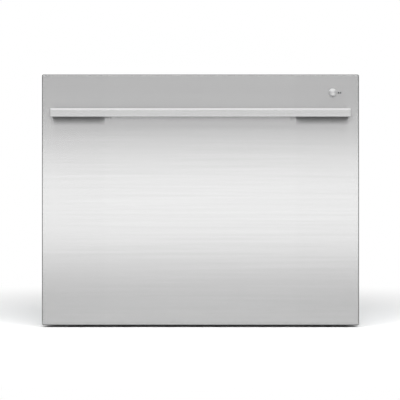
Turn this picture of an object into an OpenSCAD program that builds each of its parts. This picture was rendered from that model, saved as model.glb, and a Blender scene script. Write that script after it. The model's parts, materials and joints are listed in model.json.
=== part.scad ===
// Tall single-drawer dishwasher: a sheet-metal cabinet, a drawer that carries the
// moulded wash tub behind a brushed front, and a lid that lowers onto the tub's rim.
// Millimetres. +Z up, the front faces -Y, origin at the middle of the footprint.

/* [Front] */
// Width of the front panel
panel_w = 598; // [590:1:600]
// Height of the front panel
panel_h = 473; // [465:1:480]
// Underside of the front panel above the floor
panel_z = 4; // [2:1:6]
// Thickness of the panel's steel skin
skin = 1; // [0.8:0.1:1.2]
// Depth of the panel's folded returns
panel_return = 22; // [18:1:23]
// Overall depth, from the handle's front to the rear screws
depth = 615; // [612:1:618]

/* [Handle] */
// Length of the handle bar
handle_len = 558; // [500:2:570]
// Height of the handle bar
handle_h = 16; // [14:1:20]
// Front-to-back thickness of the bar
handle_t = 14; // [12:1:16]
// How far the bar's front stands off the panel
handle_reach = 42; // [38:1:46]
// Width of each end post
post_w = 98; // [60:1:110]
// Height of the bar's middle above the floor
handle_z = 403; // [395:1:410]

/* [Button] */
// Middle of the button, measured from the panel's middle
button_x = 249; // [230:1:252]
// Height of the button above the floor
button_z = 443; // [440:1:446]
// Radius of the button's cap
button_r = 6.3; // [6:0.1:6.4]
// Travel of the button
button_travel = 1; // [0.5:0.1:1]

/* [Cabinet] */
// Width over the side panels
cab_w = 592; // [590:1:594]
// Underside of the cabinet above the floor
cab_z0 = 8; // [8:1:8]
// Top of the cabinet above the floor
cab_z1 = 472; // [470:1:472]
// Thickness of the cabinet's steel sheet
sheet = 1; // [1:0.1:1]
// Width of the folded flanges
flange = 12; // [10:1:12]
// Depth of the service recess in the back
recess_d = 34; // [30:1:34]

/* [Runners] */
// Height of the runners' middle above the floor
runner_z = 150; // [150:1:155]
// Length of every runner member
runner_len = 480; // [460:10:480]
// How far the drawer slides out
drawer_travel = 500; // [400:10:500]

/* [Tub] */
// Half width of the tub's outer wall at the rim
tub_rim_x = 270; // [266:1:270]
// Half length of the tub's outer wall at the rim
tub_rim_y = 228; // [224:1:228]
// Draft of the moulded wall from rim to floor
tub_draft = 12; // [8:1:14]
// Thickness of the moulded wall
tub_wall = 3; // [2.5:0.5:3]
// Underside of the tub's floor
tub_z0 = 95; // [95:1:97]
// Top of the rim's flat flange
tub_rim_z = 429; // [425:1:429]
// Outer radius of the sump below the tub
sump_r = 95; // [90:1:97]

/* [Lid] */
// How far the lid lowers onto the rim
lid_travel = 12; // [10:1:12]
// Gear module of the lid's rack and pinion
gear_module = 1.5; // [1.5:0.1:1.5]
// Teeth of the pinion
pinion_teeth = 18; // [18:2:20]

/* [Wash] */
// Radius swept by the spray arm
spray_r = 203; // [180:1:205]
// Radius of the filter plate
filter_r = 108; // [104:1:112]
// Blades of the wash pump's impeller
impeller_blades = 7; // [5:1:9]

/* [Racks] */
// Radius of the racks' frame wire
wire_r = 2.5; // [2:0.1:3]
// Radius of the tines
tine_r = 2; // [1.5:0.1:2]
// Length of the tines above their pivot
tine_len = 88; // [70:1:90]
// Tines in each folding row
tine_count = 12; // [8:1:12]
// Depth of the folding cup racks
cup_rack_d = 85; // [70:1:88]

/* [Hidden] */
$fn = 48;

// Colours of the finishes
steel_color = "#b9bab9";
zinc_color = "#9aa0a2";
white_plastic = "#e7e8e6";
grey_plastic = "#8d9193";
dark_plastic = "#3d4043";
wire_color = "#c9cbcc";
rubber_color = "#2b2c2d";

// Depth positions, front to back
handle_front_y = -depth / 2;
panel_y = handle_front_y + handle_reach;
door_back_y = panel_y + 25.5;
cab_y0 = door_back_y + 4;
cab_y1 = depth / 2 - 2;
hem_d = 8;
seal_gap = 0.3;
cab_x = cab_w / 2;
wall_x = cab_x - sheet;

// ---- shared shapes ----

// Rectangle with exact round corners, centred
module round_rect(w, d, r) {
    square([w - 2 * r, d], center = true);
    square([w, d - 2 * r], center = true);
    for (sx = [-1, 1], sy = [-1, 1])
        translate([sx * (w / 2 - r), sy * (d / 2 - r)]) circle(r);
}

// Child profile in (X, Z), pushed along Y
module along_y(y0, y1) {
    translate([0, y1, 0]) rotate([90, 0, 0]) linear_extrude(height = y1 - y0) children();
}

// Child profile in (Y, Z), pushed along X
module along_x(x0, x1) {
    translate([x0, 0, 0]) rotate([90, 0, 90]) linear_extrude(height = x1 - x0) children();
}

module rod_x(x0, x1, y, z, r) {
    translate([x0, y, z]) rotate([0, 90, 0]) cylinder(h = x1 - x0, r = r);
}

module rod_y(y0, y1, x, z, r) {
    translate([x, y0, z]) rotate([-90, 0, 0]) cylinder(h = y1 - y0, r = r);
}

module rod_z(z0, z1, x, y, r) {
    translate([x, y, z0]) cylinder(h = z1 - z0, r = r);
}

module left_and_right() {
    children();
    mirror([1, 0, 0]) children();
}

// Box given by its lowest and highest corners
module box(low, high) {
    translate(low) cube(high - low);
}

// Outline of a rounded rectangle as points, anticlockwise from the +X side
corner_steps = 5;
ring_n = 4 * (corner_steps + 1);
function corner_arc(cx, cy, r, start) =
    [for (i = [0:corner_steps]) let (a = start + 90 * i / corner_steps)
        [cx + r * cos(a), cy + r * sin(a)]];
function outline(hx, hy, r) = concat(
    corner_arc(hx - r, hy - r, r, 0), corner_arc(r - hx, hy - r, r, 90),
    corner_arc(r - hx, r - hy, r, 180), corner_arc(hx - r, r - hy, r, 270));

// Solid lofted through levels, each [z, half x, half y, corner radius]
module loft(levels) {
    points = [for (lv = levels) for (p = outline(lv[1], lv[2], lv[3])) [p.x, p.y, lv[0]]];
    last = (len(levels) - 1) * ring_n;
    sides = [for (k = [0:len(levels) - 2]) for (i = [0:ring_n - 1])
        let (a = k * ring_n + i, b = k * ring_n + (i + 1) % ring_n)
        each [[a, a + ring_n, b + ring_n], [a, b + ring_n, b]]];
    polyhedron(
        points = points,
        faces = concat(
            [[for (i = [0:ring_n - 1]) i]],
            sides,
            [[for (i = [ring_n - 1:-1:0]) last + i]]),
        convexity = 4);
}

// ---- cabinet ----

bead_r = 12;
bead_h = 2;

// Round-ended rod along +Z that shapes a pressing
module bead_rod(r, len) {
    cylinder(h = len, r = r);
    sphere(r);
    translate([0, 0, len]) sphere(r);
}

// Sheet at x = x0 with pressings towards -X; positions lists [y, lowest z, length]
module beaded_web(x0, positions) {
    bead_x = x0 + bead_r - bead_h;
    difference() {
        union() {
            children();
            for (p = positions) intersection() {
                translate([bead_x, p[0], p[1]]) bead_rod(bead_r, p[2]);
                box([x0 - bead_h - 1, p[0] - 2 * bead_r, p[1] - 2 * bead_r],
                    [x0 + sheet / 2, p[0] + 2 * bead_r, p[1] + p[2] + 2 * bead_r]);
            }
        }
        for (p = positions) translate([bead_x, p[0], p[1]]) bead_rod(bead_r - sheet, p[2]);
    }
}

fixing_y = -214;
fixing_zs = [60, 400];
fixing_r = 2.5;
bush_r = 5;
bush_len = 6;
side_bead_ys = [-150, 90, 190];
rear_screw_zs = [40, 180, 320, 440];
top_screw_ys = [-180, 240];
screw_r = 1.9;

// Right-hand side panel: web with folded flanges, pressings and two fixing bushes
module side_panel() {
    difference() {
        union() {
            beaded_web(wall_x, [for (y = side_bead_ys) [y, 215, 130]])
                box([wall_x, cab_y0, cab_z0], [cab_x, cab_y1 - sheet, cab_z1 - sheet]);
            for (z = [cab_z0, cab_z1 - 2 * sheet])
                box([cab_x - flange, cab_y0, z], [cab_x, cab_y1 - sheet, z + sheet]);
            box([cab_x - flange, cab_y1 - 2 * sheet, cab_z0],
                [cab_x, cab_y1 - sheet, cab_z1 - sheet]);
            box([cab_x - 2 * sheet, cab_y0, cab_z0], [cab_x, cab_y0 + hem_d, cab_z1 - sheet]);
            for (z = fixing_zs) rod_x(wall_x - bush_len, wall_x + sheet / 2, fixing_y, z, bush_r);
        }
        for (z = fixing_zs) rod_x(wall_x - 8, cab_x + 1, fixing_y, z, fixing_r);
        for (z = rear_screw_zs) rod_y(cab_y1 - 4, cab_y1, cab_x - flange / 2, z, screw_r + 0.1);
        for (y = top_screw_ys) rod_z(cab_z1 - 4, cab_z1, cab_x - flange / 2, y, screw_r + 0.1);
    }
}

module right_side_panel() { color(zinc_color) side_panel(); }
module left_side_panel() { color(zinc_color) mirror([1, 0, 0]) side_panel(); }

pan_x = wall_x - sheet - 0.1;
pan_y1 = cab_y1 - 2 * sheet - 0.1;
pan_z = cab_z0 + sheet;
hem_x = cab_x - flange - 0.2;
pan_flange_h = 9;
pad_xs = [-240, 240];
pad_ys = [-195, 265];

module base_pan() {
    color(zinc_color) difference() {
        union() {
            box([-pan_x, cab_y0, pan_z], [pan_x, pan_y1, pan_z + sheet]);
            box([-hem_x, cab_y0, cab_z0], [hem_x, cab_y0 + hem_d, pan_z + sheet / 2]);
            for (sx = [-1, 1]) translate([sx * (pan_x - sheet / 2), 0, 0])
                box([-sheet / 2, cab_y0 + 14, pan_z], [sheet / 2, pan_y1, pan_z + pan_flange_h]);
            for (y = [cab_y0 + 14, pan_y1 - sheet])
                box([-pan_x, y, pan_z], [pan_x, y + sheet, pan_z + pan_flange_h]);
            // Drip channel round the middle of the pan
            translate([0, 20, pan_z]) linear_extrude(height = 5) difference() {
                round_rect(420, 360, 40);
                round_rect(414, 354, 37);
            }
            for (x = pad_xs, y = pad_ys) rod_z(cab_z0, pan_z + 4, x, y, 7);
        }
        for (x = pad_xs, y = pad_ys) rod_z(cab_z0 - 1, pan_z + 6, x, y, 3.6);
    }
}

rear_bead_xs = [-180, -60, 60, 180];
top_bead_xs = [-190, -95, 0, 95, 190];
recess_x = 150;
recess_z0 = 24;
recess_z1 = 110;
recess_y = cab_y1 - sheet - recess_d;
inlet_x = -105;
outlet_x = -30;
gland_x = 110;
service_z = 66;
inlet_body_r = 15;
outlet_body_r = 12;
gland_body_r = 7;

module rear_panel() {
    color(zinc_color) difference() {
        union() {
            // Back sheet, worked on its side so that its pressings run up and down
            translate([0, cab_y1 - sheet, 0]) rotate([0, 0, 90])
                beaded_web(0, [for (x = rear_bead_xs) [-x, 160, 230]])
                difference() {
                    box([0, -cab_x, cab_z0], [sheet, cab_x, cab_z1 - sheet]);
                    box([-1, -recess_x, recess_z0], [sheet + 1, recess_x, recess_z1]);
                }
            difference() {
                box([-recess_x - sheet, recess_y - sheet, recess_z0 - sheet],
                    [recess_x + sheet, cab_y1 - sheet / 2, recess_z1 + sheet]);
                box([-recess_x, recess_y, recess_z0], [recess_x, cab_y1 + 1, recess_z1]);
            }
        }
        rod_y(recess_y - 3, recess_y + 2, inlet_x, service_z, inlet_body_r + 0.1);
        rod_y(recess_y - 3, recess_y + 2, outlet_x, service_z, outlet_body_r + 0.1);
        rod_y(recess_y - 3, recess_y + 2, gland_x, service_z, gland_body_r + 0.1);
        for (sx = [-1, 1], z = rear_screw_zs)
            rod_y(cab_y1 - 3, cab_y1 + 1, sx * (cab_x - flange / 2), z, screw_r + 0.1);
    }
}

module top_panel() {
    color(zinc_color) difference() {
        union() {
            // Top sheet, worked on edge so that its pressings run front to back
            translate([0, 0, cab_z1]) rotate([-90, 0, 0]) rotate([0, 0, 90])
                beaded_web(0, [for (x = top_bead_xs) [x, -170, 380]])
                    box([0, -cab_x, cab_y0], [sheet, cab_x, cab_y1]);
            box([-hem_x, cab_y0, cab_z1 - 2 * sheet], [hem_x, cab_y0 + hem_d, cab_z1 - sheet / 2]);
        }
        for (sx = [-1, 1], y = top_screw_ys)
            rod_z(cab_z1 - 3, cab_z1 + 1, sx * (cab_x - flange / 2), y, screw_r + 0.1);
    }
}

// Moulded pads with a spigot that clips into the base pan
module support_pads() {
    color(dark_plastic) for (x = pad_xs, y = pad_ys)
        translate([x, y, 0]) rotate_extrude()
            polygon([[0, 0], [16, 0], [18, 2], [18, 6], [16.5, cab_z0], [3.5, cab_z0],
                [3.5, cab_z0 + 5], [0, cab_z0 + 6]]);
}

// Pan-head sheet screw with its shank down -Z
module pan_screw(head_r, head_h, shank_r, len) {
    rotate_extrude()
        polygon([[0, -len], [shank_r * 0.4, -len], [shank_r, 3 - len], [shank_r, 0], [head_r, 0],
            [head_r, head_h * 0.5], [head_r * 0.7, head_h], [0, head_h]]);
}

module cabinet_screws() {
    color(steel_color) {
        for (sx = [-1, 1], z = rear_screw_zs)
            translate([sx * (cab_x - flange / 2), cab_y1, z]) rotate([-90, 0, 0])
                pan_screw(4, 2, screw_r, 9);
        for (sx = [-1, 1], y = top_screw_ys)
            translate([sx * (cab_x - flange / 2), y, cab_z1]) pan_screw(4, 2, screw_r, 9);
    }
}

// Gasket that straddles the cabinet's front edge
module front_seal() {
    seal_mid = (cab_z0 + cab_z1) / 2;
    cab_h = cab_z1 - cab_z0;
    color(rubber_color) difference() {
        translate([0, 0, seal_mid]) along_y(door_back_y + seal_gap, cab_y0 + hem_d) difference() {
            round_rect(cab_w + 3, cab_h + 3, 3);
            round_rect(cab_w - 7, cab_h - 7, 2);
        }
        translate([0, 0, seal_mid]) along_y(cab_y0, cab_y0 + hem_d + 1) difference() {
            square([cab_w + 0.1, cab_h + 0.1], center = true);
            square([cab_w - 4.1, cab_h - 4.1], center = true);
        }
    }
}

// ---- runners: three nested ball-bearing members, right-hand side ----

runner_y0 = cab_y0 + hem_d + 1;
runner_y1 = runner_y0 + runner_len;
runner_t = 12.7;
runner_screw_ys = [-180, 10, 210];

// Channel open towards +u, where u runs inwards from the cabinet's wall
module channel(u0, u1, half, t, lip) {
    translate([u0, -half]) square([t, 2 * half]);
    for (s = [-1, 1]) {
        translate([u0, s > 0 ? half - t : -half]) square([u1 - u0, t]);
        translate([u1 - t, s > 0 ? half - lip : -half]) square([t, lip]);
    }
}

module at_runner() {
    translate([wall_x, 0, runner_z]) mirror([1, 0, 0]) children();
}

module outer_runner() {
    at_runner() difference() {
        along_y(runner_y0, runner_y1) channel(0, 11, 22.5, 1.2, 3.6);
        for (y = runner_screw_ys) rod_x(-1, 3, y, 0, 2.6);
    }
}

module middle_runner() {
    at_runner() difference() {
        along_y(runner_y0, runner_y1) channel(3, 11.4, 17.2, 1.2, 2.6);
        for (y = [-120, 120]) rod_x(2, 5, y, 0, 6);
    }
}

module inner_runner() {
    at_runner() difference() {
        along_y(runner_y0, runner_y1) {
            translate([runner_t - 1.2, -10.5]) square([1.2, 21]);
            for (s = [-1, 1]) translate([6.4, s > 0 ? 9.3 : -10.5]) square([runner_t - 6.4, 1.2]);
        }
        for (y = runner_screw_ys) rod_x(9, 14, y, 0, 2.6);
    }
}

// Retainer strip bent round the upper and lower rows of balls; u_in is its web
module ball_cage(u_in, u_out, row_v, strip, ball_r, balls) {
    cage_len = runner_len - drawer_travel / 2 - 15;
    cage_y0 = runner_y0 + drawer_travel / 4 + 7;
    step = cage_len / balls;
    at_runner() {
        along_y(cage_y0, cage_y0 + cage_len) {
            translate([u_in, -row_v - strip / 2]) square([strip, 2 * row_v + strip]);
            for (s = [-1, 1]) translate([u_in, s * row_v - strip / 2]) square([u_out - u_in, strip]);
        }
        for (s = [-1, 1], k = [0:balls - 1])
            translate([u_out - ball_r - 0.6, cage_y0 + (k + 0.5) * step, s * row_v])
                sphere(ball_r, $fn = 24);
    }
}

// Balls between the outer and middle members, on both sides
module outer_ball_cages() {
    color(dark_plastic) left_and_right() ball_cage(1.6, 9, 19.25, 0.8, 1.95, 10);
}

// Balls between the middle and inner members, on both sides
module inner_ball_cages() {
    color(dark_plastic) left_and_right() ball_cage(4.7, 10.6, 13.25, 0.9, 2.65, 8);
}

module outer_runner_right() { color(steel_color) outer_runner(); }
module outer_runner_left() { color(steel_color) mirror([1, 0, 0]) outer_runner(); }
module middle_runner_right() { color(steel_color) middle_runner(); }
module middle_runner_left() { color(steel_color) mirror([1, 0, 0]) middle_runner(); }
module inner_runner_right() { color(steel_color) inner_runner(); }
module inner_runner_left() { color(steel_color) mirror([1, 0, 0]) inner_runner(); }

// ---- lid and its lift ----

tub_cy = 6;
seal_h = 2.7;
bead_top = 3;
lid_z = tub_rim_z + bead_top + seal_gap + lid_travel + seal_h;
lid_x = 279;
lid_half_y = tub_rim_y + 9;
pitch_r = gear_module * pinion_teeth / 2;
tooth_pitch = PI * gear_module;
addendum = 1.3;
dedendum = 1.6;
pressure = 20;
backlash = 0.2;
mesh_gap = 0.1;
gear_x0 = 281.5;
gear_x1 = 286.5;
pinion_z = 410;
pinion_y = pitch_r + mesh_gap;
pinion_shaft_r = 3;

function involute(a) = tan(a) * 180 / PI - a;

// Half the tooth's angle at radius r
function tooth_half(r, r_base) =
    (tooth_pitch / 2 - backlash) / (2 * pitch_r) * 180 / PI
    + involute(pressure) - involute(acos(min(1, r_base / r)));

// Involute spur gear outline with a tooth space towards -X
module gear_outline() {
    r_base = pitch_r * cos(pressure);
    r_out = pitch_r + addendum;
    r_root = pitch_r - dedendum;
    step = 360 / pinion_teeth;
    radii = [r_base, (r_base + r_out) / 2, pitch_r + addendum / 2, r_out];
    polygon([for (k = [0:pinion_teeth - 1]) let (mid = step * (k + 0.5)) each concat(
        [let (a = mid - tooth_half(r_base, r_base)) r_root * [cos(a), sin(a)]],
        [for (r = radii) let (a = mid - tooth_half(r, r_base)) r * [cos(a), sin(a)]],
        [for (i = [3:-1:0]) let (r = radii[i], a = mid + tooth_half(r, r_base)) r * [cos(a), sin(a)]],
        [let (a = mid + tooth_half(r_base, r_base)) r_root * [cos(a), sin(a)]])]);
}

// Rack outline in (Y, Z): pitch line at y = 0, one tooth centred on z = 0
module rack_outline(teeth_down, teeth_up, back) {
    slope = tan(pressure);
    half = (tooth_pitch / 2 - backlash) / 2;
    flank = [for (k = [-teeth_down:teeth_up]) let (z = k * tooth_pitch) each [
        [-dedendum, z - half - dedendum * slope], [addendum, z - half + addendum * slope],
        [addendum, z + half - addendum * slope], [-dedendum, z + half + dedendum * slope]]];
    z_low = -teeth_down * tooth_pitch - tooth_pitch;
    z_high = teeth_up * tooth_pitch + tooth_pitch;
    polygon(concat([[-back, z_low], [-dedendum, z_low]], flank, [[-dedendum, z_high], [-back, z_high]]));
}

rack_down = 5;
rack_up = 6;
rack_back = 12;

module lid_yoke() {
    rack_top = pinion_z + (rack_up + 1) * tooth_pitch;
    translate([0, 0, pinion_z]) along_x(gear_x0, gear_x1) rack_outline(rack_down, rack_up, rack_back);
    // Arm that rises from the rack to the lid's edge
    along_x(gear_x0, gear_x0 + 3)
        polygon([[-rack_back, rack_top - 1], [-2, rack_top - 1], [8, lid_z + 1], [8, lid_z + 11],
            [-26, lid_z + 11], [-26, lid_z + 1], [-rack_back, rack_top + 4]]);
    box([lid_x, -24, lid_z + 2], [gear_x0 + 1, 6, lid_z + 10]);
}

module lid_pinion() {
    translate([0, pinion_y, pinion_z]) {
        along_x(gear_x0, gear_x1) gear_outline();
        rod_x(gear_x1 - 1, wall_x - 1, 0, 0, pinion_shaft_r);
        rod_x(gear_x0 - 1, gear_x0 + 1, 0, 0, 5);
    }
}

// Gear-motor housing on the cabinet wall, with the pinion's bearing
module lid_actuator() {
    difference() {
        union() {
            along_x(gear_x1 + 0.5, wall_x) translate([28, pinion_z]) round_rect(96, 50, 10);
            along_x(gear_x0, gear_x1 + 1) translate([54, pinion_z]) round_rect(42, 46, 9);
            rod_x(gear_x0 - 1, gear_x0 + 1, 54, pinion_z, 12);
        }
        rod_x(gear_x1 - 1, wall_x - 0.6, pinion_y, pinion_z, pinion_shaft_r + 0.05);
        for (y = [-13, 69]) rod_x(gear_x1 - 1, wall_x + 1, y, pinion_z + 18, 2);
        // Clearance for the passing rack arm
        box([gear_x1 - 1, -rack_back - 1, pinion_z - 40], [gear_x1 + 1, 3, pinion_z + 40]);
    }
}

module lid_yokes() { color(grey_plastic) left_and_right() lid_yoke(); }
module lid_pinion_right() { color(white_plastic) lid_pinion(); }
module lid_pinion_left() { color(white_plastic) mirror([1, 0, 0]) lid_pinion(); }
module lid_actuator_right() { color(dark_plastic) lid_actuator(); }
module lid_actuator_left() { color(dark_plastic) mirror([1, 0, 0]) lid_actuator(); }

module lid_shell() {
    rib_t = 2.5;
    color(grey_plastic) translate([0, tub_cy, lid_z]) {
        linear_extrude(height = 3) round_rect(2 * lid_x, 2 * lid_half_y, 56);
        linear_extrude(height = 12) difference() {
            round_rect(2 * lid_x, 2 * lid_half_y, 56);
            round_rect(2 * lid_x - 6, 2 * lid_half_y - 6, 53);
        }
        linear_extrude(height = 9) {
            for (x = [-186, -93, 0, 93, 186])
                translate([x, 0]) square([rib_t, 2 * lid_half_y - 4], center = true);
            for (y = [-120, 0, 120])
                translate([0, y]) square([2 * lid_x - 4, rib_t], center = true);
        }
    }
}

module lid_seal() {
    color(rubber_color) translate([0, tub_cy, lid_z - seal_h]) linear_extrude(height = seal_h)
        difference() {
            round_rect(2 * (tub_rim_x + 6), 2 * (tub_rim_y + 6), 52);
            round_rect(2 * (tub_rim_x - 1), 2 * (tub_rim_y - 1), 45);
        }
}

// ---- services at the back ----

module water_inlet_valve() {
    color(white_plastic) {
        rod_y(recess_y - 6, recess_y + 4, inlet_x, service_z, inlet_body_r);
        rod_y(recess_y, recess_y + 3, inlet_x, service_z, 19);
        difference() {
            rod_y(recess_y + 2, recess_y + 24, inlet_x, service_z, 13.2);
            rod_y(recess_y + 8, recess_y + 25, inlet_x, service_z, 9);
        }
        // Solenoid behind the recess wall
        translate([inlet_x, recess_y - 12, service_z + 6]) {
            cylinder(h = 26, r = 11, center = false);
            translate([-13, -9, 4]) cube([26, 18, 18]);
        }
        rod_y(recess_y - 16, recess_y - 5, inlet_x, service_z, 12);
    }
}

module drain_outlet() {
    color(grey_plastic) difference() {
        union() {
            rod_y(recess_y - 14, recess_y + 4, outlet_x, service_z, outlet_body_r);
            rod_y(recess_y, recess_y + 3, outlet_x, service_z, 17);
            rod_y(recess_y + 2, recess_y + 29, outlet_x, service_z, 10);
        }
        rod_y(recess_y - 15, recess_y + 30, outlet_x, service_z, 7.5);
    }
}

module power_gland() {
    color(dark_plastic) difference() {
        union() {
            rod_y(recess_y - 6, recess_y + 4, gland_x, service_z, gland_body_r);
            translate([gland_x, recess_y, service_z]) rotate([-90, 0, 0])
                cylinder(h = 4, r = 11, $fn = 6);
            translate([gland_x, recess_y + 3.5, service_z]) rotate([-90, 0, 0])
                cylinder(h = 8, r1 = 9, r2 = 7);
        }
        rod_y(recess_y - 7, recess_y + 13, gland_x, service_z, 4.2);
    }
}

// ---- front of the drawer ----

screw_xs = [205, 254];
post_bore_r = 2.55;
panel_mid_z = panel_z + panel_h / 2;
bend_r = 2;
lens_xs = [260.1, 263.7];
lens_z = 442.6;
lens_w = 2.2;
lens_h = 3.6;

// Solid block of the folded panel: rounded across both its long and short edges
module panel_block(inset, y_front, y_back) {
    r = bend_r - inset * 0.9;
    w = panel_w - 2 * inset;
    h = panel_h - 2 * inset;
    translate([0, 0, panel_mid_z]) intersection() {
        along_x(-w / 2, w / 2) fold_outline(h, y_front, y_back, r);
        rotate([0, 90, 0]) along_x(-h / 2, h / 2) fold_outline(w, y_front, y_back, r);
    }
}

// Section in (Y, height): square at the back and rounded at its two front corners
module fold_outline(h, y_front, y_back, r) {
    translate([y_front + r, -h / 2]) square([y_back - y_front - r, h]);
    translate([y_front, -h / 2 + r]) square([r + 0.1, h - 2 * r]);
    for (s = [-1, 1]) translate([y_front + r, s * (h / 2 - r)]) circle(r, $fn = 32);
}

module front_panel() {
    color(steel_color) difference() {
        panel_block(0, panel_y, panel_y + panel_return);
        panel_block(skin, panel_y + skin, panel_y + panel_return + 1);
        rod_y(panel_y - 1, panel_y + 3, button_x, button_z, button_r + 0.7);
        for (x = lens_xs) translate([x, 0, lens_z]) along_y(panel_y - 1, panel_y + 3)
            round_rect(lens_w, lens_h, 0.9);
        for (sx = [-1, 1], x = screw_xs) rod_y(panel_y - 1, panel_y + 3, sx * x, handle_z, 2.8);
    }
}

frame_w = panel_w - 4.4;
frame_h = panel_h - 4.4;
frame_back = 3;
pocket = [[222, 418], [291, 466]];

// Moulded carrier behind the skin: back plate, rim and crossing ribs
module door_frame() {
    cell_xs = [-292, -196, -98, 0, 98, 196, 292];
    cell_zs = [9, 100, 191, 282, 373, 472];
    rib = 2.5;
    color(grey_plastic) difference() {
        union() {
            translate([0, 0, panel_mid_z]) along_y(door_back_y - frame_back, door_back_y)
                square([frame_w, frame_h], center = true);
            along_y(panel_y + skin, door_back_y - frame_back + 0.1) difference() {
                translate([0, panel_mid_z]) square([frame_w, frame_h], center = true);
                for (i = [0:5], j = [0:4])
                    translate([cell_xs[i] + rib / 2, cell_zs[j] + rib / 2])
                        square([cell_xs[i + 1] - cell_xs[i], cell_zs[j + 1] - cell_zs[j]] - [rib, rib]);
            }
            for (sx = [-1, 1], x = screw_xs)
                rod_y(panel_y + skin, door_back_y - 1, sx * x, handle_z, 8);
            // Walls of the pocket for the electronics
            along_y(panel_y + skin, door_back_y - 1) difference() {
                translate(pocket[0] - [2.5, 2.5]) square(pocket[1] - pocket[0] + [5, 5]);
                translate(pocket[0]) square(pocket[1] - pocket[0]);
            }
        }
        along_y(panel_y, door_back_y - frame_back) translate(pocket[0]) square(pocket[1] - pocket[0]);
        for (sx = [-1, 1], x = screw_xs) {
            rod_y(panel_y, door_back_y + 1, sx * x, handle_z, 2.8);
            rod_y(door_back_y - 7, door_back_y + 1, sx * x, handle_z, 6);
        }
    }
}

bar_y1 = handle_front_y + handle_t;
bevel = 3.8;
edge = 1;

module handle_bar() {
    front = handle_front_y;
    color(steel_color) translate([0, 0, handle_z - handle_h / 2])
        along_x(-handle_len / 2, handle_len / 2) difference() {
            polygon([[front, edge], [front + edge * 0.3, edge * 0.3], [front + edge, 0],
                [bar_y1 - edge, 0], [bar_y1, edge], [bar_y1, handle_h - edge], [bar_y1 - edge, handle_h],
                [front + bevel, handle_h], [front + bevel * 0.55, handle_h - bevel * 0.3],
                [front, handle_h - bevel]]);
            // Shallow finger groove in the back of the bar
            translate([bar_y1 + 8, handle_h / 2]) circle(r = 9.5);
        }
}

// Cast post between the bar and the panel, filleted into the bar
module handle_post() {
    x1 = handle_len / 2 - 0.5;
    x0 = x1 - post_w;
    fillet = 10;
    inset = 0.6;
    color(steel_color) difference() {
        translate([0, 0, handle_z - handle_h / 2 + inset])
            linear_extrude(height = handle_h - 2 * inset) difference() {
                translate([x0 - fillet, bar_y1]) square([x1 - x0 + fillet, panel_y - bar_y1]);
                translate([x0 - fillet, bar_y1 + fillet]) circle(fillet);
                translate([x0 - fillet - 1, bar_y1 + fillet]) square([fillet + 1, panel_y - bar_y1]);
            }
        for (x = screw_xs) rod_y(panel_y - 17, panel_y + 1, x, handle_z, post_bore_r);
    }
}

module handle_posts() { left_and_right() handle_post(); }

module handle_screws() {
    color(steel_color) for (sx = [-1, 1], x = screw_xs)
        translate([sx * x, door_back_y - 7, handle_z]) rotate([-90, 0, 0]) {
            difference() {
                cylinder(h = 4.5, r = 5);
                translate([0, 0, 2]) cylinder(h = 3, r = 2.4, $fn = 6);
            }
            translate([0, 0, -33]) cylinder(h = 33.5, r = 2.5);
        }
}

bezel_back = panel_y + 7;

module button_bezel() {
    color(steel_color) translate([button_x, 0, button_z]) rotate([-90, 0, 0]) rotate_extrude()
        polygon([[button_r + 0.1, panel_y - 0.6], [button_r + 0.4, panel_y - 0.9],
            [button_r + 0.9, panel_y - 0.7], [button_r + 1.1, panel_y], [button_r + 0.6, panel_y],
            [button_r + 0.6, bezel_back], [button_r + 0.1, bezel_back]]);
}

cap_back = bezel_back + 1.6;
module_front = cap_back + button_travel + 2.4;

module start_button() {
    color(steel_color) translate([button_x, 0, button_z]) rotate([-90, 0, 0]) rotate_extrude()
        polygon([[0, panel_y - 1.7], [button_r * 0.6, panel_y - 1.6], [button_r - 0.5, panel_y - 1.3],
            [button_r, panel_y - 0.8], [button_r, bezel_back + 0.3], [button_r + 1, bezel_back + 0.3],
            [button_r + 1, cap_back], [0, cap_back]]);
}

// Silicone dome that returns the button
module button_dome() {
    color(rubber_color) translate([button_x, 0, button_z]) rotate([-90, 0, 0]) rotate_extrude()
        polygon([[0, cap_back], [2.2, cap_back], [4.6, module_front - 0.8], [5.4, module_front - 0.8],
            [5.4, module_front], [3.8, module_front], [1.6, cap_back + 0.9], [0, cap_back + 0.9]]);
}

// Two light pipes whose ends show as small windows
module status_lenses() {
    color("#5b5f62") for (x = lens_xs) translate([x, 0, lens_z])
        along_y(panel_y - 0.3, module_front) round_rect(lens_w - 0.1, lens_h - 0.1, 0.85);
}

module control_module() {
    low = [pocket[0].x + 3, module_front, pocket[0].y + 3];
    high = [pocket[1].x - 3, door_back_y - frame_back, pocket[1].y - 3];
    mid = (low + high) / 2;
    color(dark_plastic) translate([mid.x, 0, mid.z])
        along_y(low.y, high.y) round_rect(high.x - low.x, high.z - low.z, 3);
}

// ---- wash tub ----

fillet_r = 20;
rim_corner = 48;
tub_floor_z = tub_z0 + tub_wall;
sump_z = 66;

// Levels of the tub's skin, moved in by inset; the last one reaches z_top
function tub_levels(inset, z_top) = concat(
    [for (a = [0:22.5:90]) let (pull = fillet_r * (1 - sin(a)) + inset)
        [tub_z0 + inset + fillet_r * (1 - cos(a)), tub_rim_x - tub_draft - pull,
            tub_rim_y - tub_draft - pull, rim_corner - tub_draft / 2 - pull]],
    [let (rise = (z_top - tub_z0 - fillet_r) / (tub_rim_z - tub_z0 - fillet_r))
        [z_top, tub_rim_x - tub_draft * (1 - rise) - inset, tub_rim_y - tub_draft * (1 - rise) - inset,
            rim_corner - inset]]);

function tub_inner_y(z) = tub_cy - (tub_rim_y - tub_wall
    - tub_draft * (tub_rim_z - z) / (tub_rim_z - tub_z0 - fillet_r));

rail_x = wall_x - runner_t;
rail_half = 13;
fan_at = [100, -172];
fan_r = 26;
fan_post_dx = 30;
fan_post_dy = 22;
fan_post_r = 5;
drain_at = [-128, 40];
drain_z = 76;
snout_r = 10;

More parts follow.
